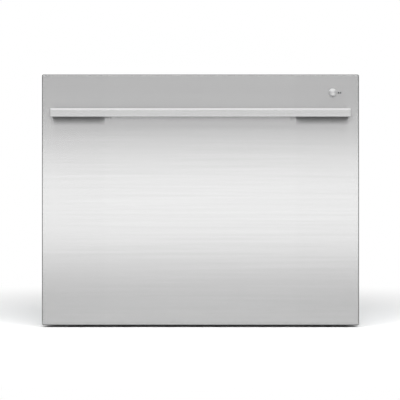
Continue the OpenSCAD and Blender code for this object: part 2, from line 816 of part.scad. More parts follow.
module tub() {
    color(white_plastic) difference() {
        union() {
            translate([0, tub_cy, 0]) loft(tub_levels(0, tub_rim_z - 1));
            // Rim flange that reaches forward to the door, and the bead under the lid's seal
            translate([0, 0, tub_rim_z - 3]) linear_extrude(height = 3)
                round_rect(556, 2 * abs(door_back_y), 54);
            translate([0, tub_cy, tub_rim_z - 1]) linear_extrude(height = 1 + bead_top)
                round_rect(2 * tub_rim_x + 8, 2 * tub_rim_y + 8, 50);
            // Stiffening ribs round the outside
            for (z = [215, 320]) translate([0, tub_cy, z]) linear_extrude(height = 3)
                round_rect(2 * tub_rim_x + 4, 2 * tub_rim_y + 4, 50);
            // Rails that the inner runners bolt to
            left_and_right() {
                box([rail_x - 3, runner_y0 + 4, runner_z - rail_half],
                    [rail_x, runner_y1 - 4, runner_z + rail_half]);
                for (y = [-200:68:230])
                    box([250, y, runner_z - rail_half], [rail_x - 1, y + 3, runner_z + rail_half]);
            }
            translate([0, tub_cy, sump_z]) cylinder(h = tub_z0 - sump_z + 2, r = sump_r, $fn = 72);
            // Posts that the fan housing screws to
            for (dx = [-fan_post_dx, fan_post_dx])
                rod_z(84, tub_z0 + 1, fan_at.x + dx, fan_at.y + fan_post_dy, fan_post_r);
        }
        translate([0, tub_cy, 0]) loft(tub_levels(tub_wall, tub_rim_z + 10));
        translate([0, tub_cy, sump_z + 3]) cylinder(h = 40, r = sump_r - 3, $fn = 72);
        translate([0, tub_cy, sump_z - 1]) cylinder(h = 6, r = 30);
        rod_x(-100, -80, drain_at.y, drain_z, snout_r + 0.1);
        left_and_right() for (y = runner_screw_ys) rod_x(rail_x - 5, rail_x + 1, y, runner_z, 2.1);
    }
}

// ---- wash system, all on one upright axis at the tub's middle ----

shaft_r = 4;

module motor_housing() {
    color(dark_plastic) translate([0, tub_cy, 0]) difference() {
        union() {
            rotate_extrude() polygon([[0, 24], [26, 24], [34, 28], [45, 34], [46, 36], [46, 60], [58, 61.5],
                [58, 65.7], [29.7, 65.7], [29.7, 68.5], [14, 70], [0, 70]]);
            for (a = [0:30:330]) rotate(a) box([44, -1.2, 38], [52, 1.2, 61]);
        }
        translate([0, 0, 42]) cylinder(h = 40, r = shaft_r + 0.05);
    }
}

module pump_impeller() {
    r_in = 12;
    r_out = 33;
    sweep = 50;
    steps = 6;
    // Backward-curved blade as a strip between two arcs
    edge_at = function (i, side)
        let (t = i / steps, r = r_in + (r_out - r_in) * t, a = sweep * t + side * 100 / r)
        [r * cos(a), r * sin(a)];
    color(white_plastic) translate([0, tub_cy, 0]) {
        rod_z(44, 76, 0, 0, shaft_r);
        rod_z(72, 74.5, 0, 0, 34);
        rotate_extrude() polygon([[0, 72], [13, 72], [13, 78], [8, 86], [5, 90], [0, 91]]);
        for (k = [0:impeller_blades - 1]) rotate(k * 360 / impeller_blades)
            translate([0, 0, 74]) linear_extrude(height = 11)
                polygon(concat([for (i = [0:steps]) edge_at(i, -0.5)],
                    [for (i = [steps:-1:0]) edge_at(i, 0.5)]));
    }
}

module heater_plate() {
    color(steel_color) translate([0, tub_cy, 0]) {
        difference() {
            rod_z(62, 65.9, 0, 0, 88);
            rod_z(61, 67, 0, 0, 61);
        }
        for (a = [200, 216]) rotate(a) translate([75, 0, 0]) box([-4, -0.4, 48], [4, 0.4, 63]);
    }
}

// Drain pump beside the wash motor, joined to the sump by its snout
module drain_pump() {
    color(dark_plastic) translate([drain_at.x, drain_at.y, 0]) {
        rod_x(-34, 26, 0, drain_z, 17);
        rod_x(-46, -33, 0, drain_z, 13);
        rod_x(20, 40, 0, drain_z, snout_r);
        rod_y(10, 34, 12, drain_z, 7);
        for (x = [-30, -12]) box([x, -19, drain_z - 6], [x + 3, 19, tub_z0 - 0.1]);
    }
}

// Snail housing: the wall's radius grows steadily round the wheel
module snail_outline(extra) {
    polygon([for (a = [0:15:345]) let (r = fan_r + 4 + 14 * a / 345 + extra) [r * cos(a), r * sin(a)]]);
    translate([20, -34 - extra]) square([42, 24 + 2 * extra]);
}

module fan_housing() {
    color(grey_plastic) translate([fan_at.x, fan_at.y, 0]) difference() {
        union() {
            translate([0, 0, 44]) linear_extrude(height = 34) snail_outline(2);
            rod_z(38, 46, 0, 0, 14);
            for (dx = [-fan_post_dx, fan_post_dx]) rod_z(70, 84, dx, fan_post_dy, fan_post_r);
        }
        translate([0, 0, 46.5]) linear_extrude(height = 29) snail_outline(0);
        rod_z(74, 80, 0, 0, 18);
        rod_z(40, 50, 0, 0, 3.05);
        box([50, -34, 46.5], [70, -10, 75.5]);
    }
}

module fan_wheel() {
    blades = 18;
    color(white_plastic) translate([fan_at.x, fan_at.y, 0]) {
        rod_z(41, 52, 0, 0, 3);
        difference() {
            rod_z(48, 50, 0, 0, fan_r);
            rod_z(47, 51, 0, 0, 2);
        }
        rod_z(48, 62, 0, 0, 9);
        difference() {
            rod_z(70, 72, 0, 0, fan_r);
            rod_z(69, 73, 0, 0, fan_r - 6);
        }
        for (k = [0:blades - 1]) rotate(k * 360 / blades)
            translate([fan_r - 6, 0, 49.5]) rotate(35) box([0, -0.6, 0], [6, 0.6, 21]);
    }
}

filter_at_y = 63;
filter_cup_r = 24;
slot_w = 2.5;
// Rings of slots, each [inner radius, length, count]
slot_rings = [[46, 16, 30], [70, 18, 40]];

module filter_plate() {
    color(steel_color) translate([0, tub_cy, tub_floor_z]) difference() {
        union() {
            linear_extrude(height = 2.5) difference() {
                circle(filter_r, $fn = 96);
                for (ring = slot_rings) for (k = [0:ring[2] - 1]) rotate((k + 0.5) * 360 / ring[2] + 90)
                    translate([ring[0], -slot_w / 2]) square([ring[1], slot_w]);
            }
            translate([0, filter_at_y, 0]) cylinder(h = 2.5, r = filter_cup_r + 6);
            rod_z(0, 6, 0, 0, 20);
        }
        translate([0, filter_at_y, -1]) cylinder(h = 5, r = filter_cup_r + 0.4);
        rod_z(-1, 8, 0, 0, 5);
    }
}

// Removable filter cup that turns a quarter to lock
module drain_filter() {
    slots = 16;
    color(grey_plastic) translate([0, tub_cy + filter_at_y, 0]) {
        difference() {
            rod_z(71, 100.8, 0, 0, filter_cup_r);
            rod_z(73, 99, 0, 0, filter_cup_r - 2);
            for (k = [0:slots - 1]) rotate(k * 360 / slots)
                box([filter_cup_r - 4, -1.5, 76], [filter_cup_r + 1, 1.5, 96]);
        }
        rod_z(100.7, 101.8, 0, 0, filter_cup_r + 3);
        translate([0, 0, 103]) cube([34, 4, 4], center = true);
    }
}

spindle_r = 5;

module spray_spindle() {
    color(grey_plastic) translate([0, tub_cy, 0]) {
        rod_z(tub_floor_z, 123, 0, 0, spindle_r - 0.03);
        rod_z(104, 107, 0, 0, 9);
        rotate_extrude() polygon([[0, 121], [10, 121], [10, 123], [7, 125], [0, 125]]);
    }
}

arm_z = 107.3;

// Twin-blade arm: lens-shaped section, wider at the hub, with jets along the top
module spray_arm() {
    color(grey_plastic) translate([0, tub_cy, arm_z]) difference() {
        union() {
            for (a = [0, 180]) rotate(a) hull() {
                translate([0, 0, 1]) cylinder(h = 11, r = 24, $fn = 32);
                translate([110, 6, 2.5]) cylinder(h = 8, r = 22, $fn = 32);
                translate([spray_r - 17, 0, 4]) cylinder(h = 4, r = 17, $fn = 32);
            }
            cylinder(h = 13.4, r = 15);
        }
        translate([0, 0, -1]) cylinder(h = 20, r = spindle_r + 0.03);
        for (a = [0, 180], x = [45, 80, 115, 150, 182])
            rotate(a) translate([x, 3, 4]) cylinder(h = 12, r = 1.6);
        // Drive jets under the tips
        for (a = [0, 180]) rotate(a) translate([165, 10, -1]) cylinder(h = 8, r = 1.4);
    }
}

// ---- racks ----

rack_x = 238;
rack_y0 = -194;
rack_y1 = 206;
rack_low_z = 128;
ring_z = rack_low_z + 1;
rack_mid_z = 132;
rack_rail_z = 172;
rack_rim_z = 212;
wall_z0 = ring_z + wire_r;
pivot_z = 140;
clip_gap = 0.08;
tine_x = 60;
tine_y0 = -108;
tine_step = 26;
clip_ys = [-121, 191];
foot_xs = [-180, 180];
foot_ys = [-165, 153];
foot_r = 5;
cup_pivot_x = 246;
cup_pivot_z = 300;
cup_y0 = -140;
cup_y1 = 150;
cup_clip_ys = [-118, 128];

// Closed wire loop lying flat, with bent corners
module wire_loop(z, r_bend) {
    xs = rack_x - r_bend;
    y0 = rack_y0 + r_bend;
    y1 = rack_y1 - r_bend;
    for (sx = [-1, 1]) rod_y(y0, y1, sx * rack_x, z, wire_r);
    for (y = [rack_y0, rack_y1]) rod_x(-xs, xs, y, z, wire_r);
    for (c = [[xs, y1, 0], [-xs, y1, 90], [-xs, y0, 180], [xs, y0, 270]])
        translate([c[0], c[1], z]) rotate(c[2]) rotate_extrude(angle = 90)
            translate([r_bend, 0]) circle(wire_r, $fn = 20);
}

// Small moulded block whose bore carries a pivot rod along Y
module pivot_clip(x, y, z, drop) {
    difference() {
        translate([x, y, z]) along_y(-5, 5) {
            circle(r = 6);
            translate([-6, -drop]) square([12, drop]);
        }
        rod_y(y - 6, y + 6, x, z, wire_r + clip_gap);
    }
}

// Floor of the rack: a ring and crossing wires
module base_rack() {
    color(wire_color) {
        wire_loop(ring_z, 10);
        for (y = [foot_ys[0]:53:200]) rod_x(-rack_x, rack_x, y, ring_z, tine_r);
        for (x = [foot_xs[0]:60:180]) rod_y(rack_y0, rack_y1, x, rack_mid_z, tine_r);
    }
}

// Moulded feet under the floor's wires, and the snap-on bearings of the tine rows
module rack_clips() {
    color(grey_plastic) {
        for (x = foot_xs, y = foot_ys) difference() {
            translate([x, y, tub_floor_z]) {
                cylinder(h = 4, r1 = 7, r2 = foot_r);
                cylinder(h = ring_z - tub_floor_z, r = foot_r);
            }
            rod_x(x - 9, x + 9, y, ring_z, tine_r + clip_gap);
        }
        for (sx = [-1, 1], y = clip_ys) difference() {
            pivot_clip(sx * tine_x, y, pivot_z, 9);
            rod_y(y - 6, y + 6, sx * tine_x, rack_mid_z, tine_r + clip_gap);
        }
    }
}

// Front and rear walls, welded onto the floor's ring, with the corner posts
module rack_end_walls() {
    color(wire_color) for (y = [rack_y0, rack_y1]) {
        for (z = [rack_rail_z, rack_rim_z]) rod_x(-rack_x, rack_x, y, z, z == rack_rim_z ? wire_r : tine_r);
        for (x = [-150:60:150]) rod_z(wall_z0, rack_rim_z, x, y, tine_r);
        for (sx = [-1, 1]) translate([sx * rack_x, y, wall_z0]) {
            cylinder(h = rack_rim_z - wall_z0, r = wire_r);
            translate([0, 0, rack_rim_z - wall_z0]) sphere(wire_r);
        }
    }
}

// Side walls between the corner posts, with the supports of the folding cup racks
module rack_side_walls() {
    color(wire_color) left_and_right() {
        for (z = [rack_rail_z, rack_rim_z])
            rod_y(rack_y0 + wire_r, rack_y1 - wire_r, rack_x, z, z == rack_rim_z ? wire_r : tine_r);
        for (y = [-138.5:53:180]) rod_z(wall_z0, rack_rim_z, rack_x, y, tine_r);
        for (y = cup_clip_ys) {
            pivot_clip(cup_pivot_x, y, cup_pivot_z, 12);
            box([cup_pivot_x - 2, y - 4, rack_rim_z - 6], [cup_pivot_x + 2, y + 4, cup_pivot_z - 10]);
            box([rack_x, y - 4, rack_rim_z - 4], [cup_pivot_x, y + 4, rack_rim_z + 4]);
        }
    }
}

// Row of plate tines on a pivot rod
module tine_row(x) {
    color(wire_color) {
        rod_y(clip_ys[0] - 9, clip_ys[1] + 9, x, pivot_z, wire_r);
        for (k = [0:tine_count - 1]) {
            rod_z(pivot_z, pivot_z + tine_len, x, tine_y0 + k * tine_step, tine_r);
            translate([x, tine_y0 + k * tine_step, pivot_z + tine_len]) sphere(tine_r);
        }
    }
}

module tine_row_left() { tine_row(-tine_x); }
module tine_row_right() { tine_row(tine_x); }

// Folding wire shelf for cups and stemware
module cup_rack() {
    x1 = cup_pivot_x;
    x0 = cup_pivot_x - cup_rack_d;
    color(wire_color) {
        rod_y(cup_y0, cup_y1, x1, cup_pivot_z, wire_r);
        rod_y(cup_y0, cup_y1, x0, cup_pivot_z, wire_r);
        rod_y(cup_y0, cup_y1, (x0 + x1) / 2, cup_pivot_z - 1, tine_r);
        for (y = [cup_y0 : (cup_y1 - cup_y0) / 8 : cup_y1]) rod_x(x0, x1, y, cup_pivot_z, tine_r);
    }
}

module cup_rack_right() { cup_rack(); }
module cup_rack_left() { mirror([1, 0, 0]) cup_rack(); }

basket_w = 300;
basket_y0 = -188;
basket_y1 = -134;
basket_z0 = 134.5;
basket_z1 = 236;
basket_cells = 6;

basket_wall = 2;
basket_corner = 4.5;
basket_mid_y = (basket_y0 + basket_y1) / 2;
basket_d = basket_y1 - basket_y0;
cell_pitch = (basket_w - 2 * basket_wall) / basket_cells;
fixed_dividers = [-cell_pitch, cell_pitch];
loose_dividers = [-2 * cell_pitch, 0, 2 * cell_pitch];
groove = 0.8;

// Basket with two fixed dividers that carry the lifting handle
module cutlery_basket() {
    inner_d = basket_d - 2 * basket_wall;
    color(grey_plastic) {
        difference() {
            union() {
                translate([0, basket_mid_y, basket_z0]) linear_extrude(height = basket_z1 - basket_z0)
                    round_rect(basket_w, basket_d, basket_corner);
                translate([0, basket_mid_y, basket_z1 - 4]) linear_extrude(height = 4)
                    round_rect(basket_w + 6, basket_d + 6, basket_corner + 3);
            }
            difference() {
                translate([0, basket_mid_y, basket_z0 + 3]) linear_extrude(height = 120)
                    round_rect(basket_w - 2 * basket_wall, inner_d, basket_corner - basket_wall);
                for (x = fixed_dividers)
                    box([x - 1, basket_y0, basket_z0], [x + 1, basket_y1, basket_z1]);
            }
            for (x = loose_dividers)
                box([x - 1.1, basket_y0 + basket_wall - groove, basket_z0 + 4],
                    [x + 1.1, basket_y1 - basket_wall + groove, basket_z1 + 1]);
            for (i = [0:basket_cells - 1]) {
                x = (i - (basket_cells - 1) / 2) * cell_pitch;
                for (rise = [10, 40, 70], dx = [-14, -3, 8])
                    box([x + dx, basket_y0 - 1, basket_z0 + rise],
                        [x + dx + 6, basket_y1 + 1, basket_z0 + rise + 22]);
                for (dx = [-15, -3, 9])
                    box([x + dx, basket_mid_y - 18, basket_z0 - 1],
                        [x + dx + 6, basket_mid_y + 18, basket_z0 + 4]);
            }
        }
        // Lifting handle, an arch that stands on the fixed dividers
        along_y(basket_mid_y - 2, basket_mid_y + 2) translate([0, basket_z1 - 30]) difference() {
            round_rect(2 * cell_pitch + 9, 130, 18);
            translate([0, -2]) round_rect(2 * cell_pitch - 9, 108, 12);
            translate([-80, -70]) square([160, 99.6]);
        }
    }
}

// Plates that slide into grooves of the basket's walls
module basket_dividers() {
    color(grey_plastic) for (x = loose_dividers) along_x(x - 1, x + 1)
        translate([basket_mid_y, (basket_z0 + 4.1 + basket_z1 - 2) / 2])
            round_rect(basket_d - 2 * basket_wall + 1.4, basket_z1 - 6.1 - basket_z0, 3);
}

// ---- detergent dispenser on the tub's front wall ----

disp_x0 = -84;
disp_x1 = 76;
disp_z0 = 326;
disp_z1 = 408;
disp_y = -192;
cup_x0 = -72;
cup_x1 = 2;
cup_z0 = 344;
cup_z1 = 396;
hinge_z = 338;
hinge_y = disp_y + 2.2;
cap_x = 44;
cap_z = 366;
cap_plug_r = 10.9;

module dispenser_body() {
    color(grey_plastic) difference() {
        union() {
            along_x(disp_x0, disp_x1) polygon([
                [tub_inner_y(disp_z0) + 0.2, disp_z0], [disp_y - 3, disp_z0], [disp_y, disp_z0 + 3],
                [disp_y, disp_z1 - 8], [disp_y - 8, disp_z1], [tub_inner_y(disp_z1) + 0.2, disp_z1]]);
            // Ears that hold the flap's pivot pins
            for (x = [cup_x0 - 8, cup_x1 + 4]) along_x(x, x + 4) {
                translate([hinge_y, hinge_z]) circle(r = 4.5);
                translate([disp_y - 3, hinge_z - 4.5]) square([5.2, 9]);
            }
        }
        box([cup_x0, disp_y - 17, cup_z0], [cup_x1, disp_y + 1, cup_z1]);
        for (x = [cup_x0 - 9, cup_x1 + 3]) rod_x(x, x + 6, hinge_y, hinge_z, 2.06);
        rod_y(disp_y - 14, disp_y + 1, cap_x, cap_z, cap_plug_r + 0.08);
    }
}

module dispenser_door() {
    flap_y = hinge_y + 0.6;
    color(white_plastic) {
        difference() {
            translate([(cup_x0 + cup_x1) / 2, 0, (hinge_z + cup_z1 + 8) / 2])
                along_y(flap_y - 1.8, flap_y + 1.4)
                    round_rect(cup_x1 - cup_x0 + 6, cup_z1 + 8 - hinge_z, 5);
            box([cup_x0 + 20, flap_y + 0.2, cup_z1 - 8], [cup_x1 - 20, flap_y + 2, cup_z1 - 2]);
        }
        rod_x(cup_x0 - 7.6, cup_x1 + 7.6, hinge_y, hinge_z, 2);
        box([cup_x0 - 3, hinge_y - 2, hinge_z], [cup_x1 + 3, flap_y + 1.4, hinge_z + 6]);
    }
}

module rinse_aid_cap() {
    color(white_plastic) translate([cap_x, 0, cap_z]) {
        rod_y(disp_y - 12, disp_y + 0.5, 0, 0, cap_plug_r);
        rod_y(disp_y + 0.3, disp_y + 3.5, 0, 0, 15);
        box([-12, disp_y + 3, -1.8], [12, disp_y + 8, 1.8]);
    }
}

base_pan();
left_side_panel();
right_side_panel();
rear_panel();
top_panel();
support_pads();
cabinet_screws();
front_seal();
outer_runner_left();
outer_runner_right();
middle_runner_left();
middle_runner_right();
inner_runner_left();
inner_runner_right();
outer_ball_cages();
inner_ball_cages();
lid_actuator_left();
lid_actuator_right();
lid_pinion_left();
lid_pinion_right();
lid_shell();
lid_seal();
lid_yokes();
water_inlet_valve();
drain_outlet();
power_gland();
front_panel();
door_frame();
handle_bar();
handle_posts();
handle_screws();
button_bezel();
start_button();
button_dome();
status_lenses();
control_module();
tub();
motor_housing();
pump_impeller();
heater_plate();
drain_pump();
fan_housing();
fan_wheel();
filter_plate();
drain_filter();
spray_spindle();
spray_arm();
base_rack();
rack_clips();
rack_end_walls();
rack_side_walls();
tine_row_left();
tine_row_right();
cup_rack_left();
cup_rack_right();
cutlery_basket();
basket_dividers();
dispenser_body();
dispenser_door();
rinse_aid_cap();
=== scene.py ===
import json
import math

import bmesh
import bpy
import numpy as np
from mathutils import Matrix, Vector
from mathutils.geometry import delaunay_2d_cdt


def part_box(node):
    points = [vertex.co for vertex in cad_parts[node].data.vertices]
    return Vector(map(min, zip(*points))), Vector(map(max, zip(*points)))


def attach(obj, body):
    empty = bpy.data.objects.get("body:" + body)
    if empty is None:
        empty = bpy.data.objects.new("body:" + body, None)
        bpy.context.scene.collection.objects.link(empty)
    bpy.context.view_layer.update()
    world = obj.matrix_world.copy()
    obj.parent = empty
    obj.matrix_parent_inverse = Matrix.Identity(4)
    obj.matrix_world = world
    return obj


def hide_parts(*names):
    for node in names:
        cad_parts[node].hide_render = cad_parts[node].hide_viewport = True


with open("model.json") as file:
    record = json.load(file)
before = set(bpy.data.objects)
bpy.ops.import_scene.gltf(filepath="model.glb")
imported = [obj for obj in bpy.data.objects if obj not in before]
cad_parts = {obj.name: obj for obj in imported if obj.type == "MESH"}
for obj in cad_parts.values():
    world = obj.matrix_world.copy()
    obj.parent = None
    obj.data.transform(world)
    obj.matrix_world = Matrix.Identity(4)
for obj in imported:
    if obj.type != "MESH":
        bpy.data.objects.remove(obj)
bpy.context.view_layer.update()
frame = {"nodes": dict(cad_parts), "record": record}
cadNodes = frame["nodes"]
scene = bpy.context.scene
print("frame loaded,", len(cadNodes), "CAD pieces")


# colours and nodes

def fromHex(code):
    # sRGB hex to linear: divide by 12.92 below 0.04045, else ((c + 0.055) / 1.055) ** 2.4
    parts = [int(code[i:i + 2], 16) / 255 for i in (1, 3, 5)]
    return [c / 12.92 if c <= 0.04045 else ((c + 0.055) / 1.055) ** 2.4 for c in parts] + [1.0]


def addNode(tree, kind, settings=None, links=None):
    # settings holds socket values or node properties; links maps a socket to an output
    node = tree.nodes.new(kind)
    for key, value in (settings or {}).items():
        if isinstance(key, int) or key in node.inputs:
            node.inputs[key].default_value = value
        else:
            setattr(node, key, value)
    for key, output in (links or {}).items():
        tree.links.new(output, node.inputs[key])
    return node


def startMaterial(name, shader):
    # an empty node tree with a Principled shader, an output and Object coordinates
    material = bpy.data.materials.new(name)
    material.use_nodes = True
    tree = material.node_tree
    tree.nodes.clear()
    surface = addNode(tree, "ShaderNodeBsdfPrincipled", shader)
    addNode(tree, "ShaderNodeOutputMaterial", None, {"Surface": surface.outputs["BSDF"]})
    place = addNode(tree, "ShaderNodeTexCoord").outputs["Object"]
    return material, tree, surface, place


def layFinish(name, look, shader):
    # what every finish shares: slow clouds lead the colour from dark to light, a finer grain varies
    # roughness and relief, and the edges, found by rounding them, are a little more worn
    material, tree, surface, place = startMaterial(name, shader)
    coarse = addNode(tree, "ShaderNodeMapping", {"Scale": look["cloud"]}, {"Vector": place})
    clouds = addNode(tree, "ShaderNodeTexNoise", {"Scale": 1.0, "Detail": 3.0}, {"Vector": coarse.outputs[0]})
    fine = addNode(tree, "ShaderNodeMapping", {"Scale": look["grain"]}, {"Vector": place})
    grain = addNode(tree, "ShaderNodeTexNoise", {"Scale": 1.0, "Detail": look.get("detail", 2.0)},
                    {"Vector": fine.outputs[0]})
    share = addNode(tree, "ShaderNodeMapRange", {1: 0.3, 2: 0.7}, {0: clouds.outputs[0]})
    colour = addNode(tree, "ShaderNodeMix", {"data_type": "RGBA", 6: fromHex(look["dark"]), 7: fromHex(look["light"])},
                     {0: share.outputs[0]})
    rounded = addNode(tree, "ShaderNodeBevel", {"samples": 4, "Radius": look["edge"]})
    flat = addNode(tree, "ShaderNodeNewGeometry")
    turned = addNode(tree, "ShaderNodeVectorMath", {"operation": "DOT_PRODUCT"},
                     {0: rounded.outputs[0], 1: flat.outputs["Normal"]})
    wear = addNode(tree, "ShaderNodeMapRange", {1: 0.99, 2: 0.8, 3: 0.0, 4: look["wear"]},
                   {0: turned.outputs["Value"]})
    worn = addNode(tree, "ShaderNodeMix", {"data_type": "RGBA", 7: fromHex(look["worn"])},
                   {0: wear.outputs[0], 6: colour.outputs[2]})
    tree.links.new(worn.outputs[2], surface.inputs["Base Color"])
    gloss = addNode(tree, "ShaderNodeMapRange", {1: 0.3, 2: 0.7, 3: look["smooth"], 4: look["rough"]},
                    {0: grain.outputs[0]})
    tree.links.new(gloss.outputs[0], surface.inputs["Roughness"])
    relief = addNode(tree, "ShaderNodeBump", {"Strength": look["relief"], "Distance": look["depth"]},
                     {"Height": grain.outputs[0], "Normal": rounded.outputs[0]})
    tree.links.new(relief.outputs[0], surface.inputs["Normal"])
    return {"material": material, "tree": tree, "surface": surface, "place": place,
            "share": share, "grain": grain, "relief": relief}


# brushed and turned metal of the front

brushedSteel = {
    "dark": "#9d9d9d", "light": "#a0a0a0", "worn": "#b4b4b4", "wear": 0.4, "edge": 0.0004,
    "smooth": 0.164, "rough": 0.176, "anisotropy": 0.9, "relief": 0.005, "depth": 0.0002,
    # the real grit is about 0.1 mm; the lines are drawn about 1 mm apart so that they show
    "linesPerMetre": 900, "linePerMetre": 4,
}


def brushedStainless(name, look, linesAcross=(1, 1, 0)):
    # 304 stainless sheet, belt-brushed along its length: the fine lines smear reflections
    # across the grain, so a soft light turns into a wide band with no sharp edge
    grain = [look["linePerMetre"] if along else look["linesPerMetre"] for along in linesAcross]
    made = layFinish(name, dict(look, grain=grain, cloud=(3, 3, 220), detail=4.0),
                     {"Metallic": 1.0, "Anisotropic": look["anisotropy"]})
    tree = made["tree"]
    # the highlight runs across the lines: surface normal x X, and upright where the normal is X
    flat = addNode(tree, "ShaderNodeNewGeometry")
    across = addNode(tree, "ShaderNodeVectorMath", {"operation": "CROSS_PRODUCT", 1: (1, 0, 0)},
                     {0: flat.outputs["Normal"]})
    across = addNode(tree, "ShaderNodeVectorMath", {"operation": "ADD", 1: (0, 0, 0.002)}, {0: across.outputs[0]})
    tree.links.new(across.outputs[0], made["surface"].inputs["Tangent"])
    if "endShade" in look:
        # the ends are darkened in the colour, a painted shade which draws a thin outline round them
        facing = addNode(tree, "ShaderNodeSeparateXYZ", None, {0: flat.outputs["Normal"]}).outputs[0]
        facing = addNode(tree, "ShaderNodeMath", {"operation": "ABSOLUTE"}, {0: facing}).outputs[0]
        endShadeMask = addNode(tree, "ShaderNodeMapRange", {1: 0.15, 2: 0.5}, {0: facing})
        plain = made["surface"].inputs["Base Color"].links[0].from_socket
        endShaded = addNode(tree, "ShaderNodeMix", {"data_type": "RGBA", 7: fromHex(look["endShade"])},
                        {0: endShadeMask.outputs[0], 6: plain})
        tree.links.new(endShaded.outputs[2], made["surface"].inputs["Base Color"])
    if "fold" in look:
        # the folds are darkened in the colour, a painted shade that gives the dark outline, which the lamps
        # alone leave too pale: n (1 - n), n being the square of the normal's depth part, is none on the flats
        parts = addNode(tree, "ShaderNodeSeparateXYZ", None, {0: flat.outputs["Normal"]}).outputs
        depth = parts[1]
        square = addNode(tree, "ShaderNodeMath", {"operation": "MULTIPLY"}, {0: depth, 1: depth})
        rest = addNode(tree, "ShaderNodeMath", {"operation": "SUBTRACT", 0: 1.0}, {1: square.outputs[0]})
        mask = addNode(tree, "ShaderNodeMath", {"operation": "MULTIPLY"}, {0: square.outputs[0], 1: rest.outputs[0]})
        # the painted shade is strongest along the upper fold
        strength = addNode(tree, "ShaderNodeMapRange", {1: 0.0, 2: 0.5, 3: 8.0, 4: 28.0}, {0: parts[2]})
        mask = addNode(tree, "ShaderNodeMath", {"operation": "MULTIPLY", "use_clamp": True},
                       {0: mask.outputs[0], 1: strength.outputs[0]})
        plain = made["surface"].inputs["Base Color"].links[0].from_socket
        foldShaded = addNode(tree, "ShaderNodeMix", {"data_type": "RGBA", 7: fromHex(look["fold"])},
                         {0: mask.outputs[0], 6: plain})
        # the strip under each post is darkened in the colour too, a painted shade, by how closed in the sheet
        # is there, within the posts' span: the lamps and the posts' reflection give only part of it
        upwards = addNode(tree, "ShaderNodeCombineXYZ", {0: 0.0, 1: -0.5, 2: 0.87})
        nookShade = addNode(tree, "ShaderNodeAmbientOcclusion", {"samples": 8, "Distance": look["nookDepth"]},
                       {"Normal": upwards.outputs[0]})
        clear = addNode(tree, "ShaderNodeMapRange", {1: 0.15, 2: 0.7}, {0: nookShade.outputs["AO"]})
        sideways = addNode(tree, "ShaderNodeSeparateXYZ", None, {0: made["place"]}).outputs[0]
        sideways = addNode(tree, "ShaderNodeMath", {"operation": "ABSOLUTE"}, {0: sideways}).outputs[0]
        beside = addNode(tree, "ShaderNodeMapRange", {1: look["postInner"] + 0.001, 2: look["postInner"] - 0.001},
                         {0: sideways})
        clear = addNode(tree, "ShaderNodeMath", {"operation": "MAXIMUM"}, {0: clear.outputs[0], 1: beside.outputs[0]})
        shaded = addNode(tree, "ShaderNodeMix", {"data_type": "RGBA", 6: fromHex(look["nookShade"])},
                         {0: clear.outputs[0], 7: foldShaded.outputs[2]})
        tree.links.new(shaded.outputs[2], made["surface"].inputs["Base Color"])
    return made["material"]


turnedCap = {
    "dark": "#9a9a9a", "light": "#a8a8a8", "worn": "#b8b8b8", "wear": 0.5, "edge": 0.0003,
    "smooth": 0.26, "rough": 0.34, "anisotropy": 0.8, "cloud": (60, 60, 60), "grain": (2500, 2500, 2500),
    "relief": 0.04, "depth": 0.0001, "ringsPerMetre": 2200,
}


def turnedMetal(name, look, centre):
    # brass cap, faced on a lathe and satin chromed: fine rings about its middle gather the
    # light into two opposite fans
    made = layFinish(name, look, {"Metallic": 1.0, "Anisotropic": look["anisotropy"]})
    tree = made["tree"]
    fromAxis = addNode(tree, "ShaderNodeVectorMath", {"operation": "SUBTRACT", 1: centre}, {0: made["place"]})
    outwards = addNode(tree, "ShaderNodeVectorMath", {"operation": "MULTIPLY", 1: (1, 0, 1)},
                       {0: fromAxis.outputs[0]})
    tree.links.new(outwards.outputs[0], made["surface"].inputs["Tangent"])
    distance = addNode(tree, "ShaderNodeVectorMath", {"operation": "LENGTH"}, {0: outwards.outputs[0]})
    rings = addNode(tree, "ShaderNodeMath", {"operation": "MULTIPLY", 1: look["ringsPerMetre"] * 2 * math.pi},
                    {0: distance.outputs["Value"]})
    ripple = addNode(tree, "ShaderNodeMath", {"operation": "SINE"}, {0: rings.outputs[0]})
    cut = addNode(tree, "ShaderNodeBump", {"Strength": 0.08, "Distance": 0.00005},
                  {"Height": ripple.outputs[0], "Normal": made["relief"].outputs[0]})
    tree.links.new(cut.outputs[0], made["surface"].inputs["Normal"])
    return made["material"]


# sheet metal, plating, plastics and rubber

galvanised = {
    "dark": "#8b9093", "light": "#a6abad", "worn": "#b4b8ba", "wear": 0.5, "edge": 0.0006,
    "smooth": 0.5, "rough": 0.62, "cloud": (7, 7, 7), "grain": (160, 160, 160), "relief": 0.08, "depth": 0.0006,
    # zinc crystals of the usual sheet are 5 to 15 mm across
    "spanglePerMetre": 110,
    # keeps the top from glaring white where it is seen at a flat angle
    "grazing": "#8a8a8a",
}


def galvanisedSheet(name, look):
    # hot-dip galvanised sheet: flat grey zinc crystals, each one a little lighter or duller
    made = layFinish(name, look, {"Metallic": 0.85, "Specular Tint": fromHex(look["grazing"])})
    tree = made["tree"]
    crystals = addNode(tree, "ShaderNodeTexVoronoi", {"Scale": look["spanglePerMetre"]}, {"Vector": made["place"]})
    tone = addNode(tree, "ShaderNodeSeparateColor", None, {0: crystals.outputs["Color"]}).outputs[0]
    mixed = addNode(tree, "ShaderNodeMath", {"operation": "MULTIPLY_ADD", 1: 0.5, "use_clamp": True}, {0: tone})
    half = addNode(tree, "ShaderNodeMath", {"operation": "MULTIPLY", 1: 0.5}, {0: made["share"].outputs[0]})
    tree.links.new(half.outputs[0], mixed.inputs[2])
    for node in tree.nodes:
        if node.bl_idname == "ShaderNodeMix" and not node.inputs[6].is_linked:
            tree.links.new(mixed.outputs[0], node.inputs[0])
    return made["material"]


def coldRolled(name, look):
    # rolled strip, bright zinc-plated or bare stainless: faint rolling lines along its length
    return layFinish(name, look, {"Metallic": 1.0})["material"]


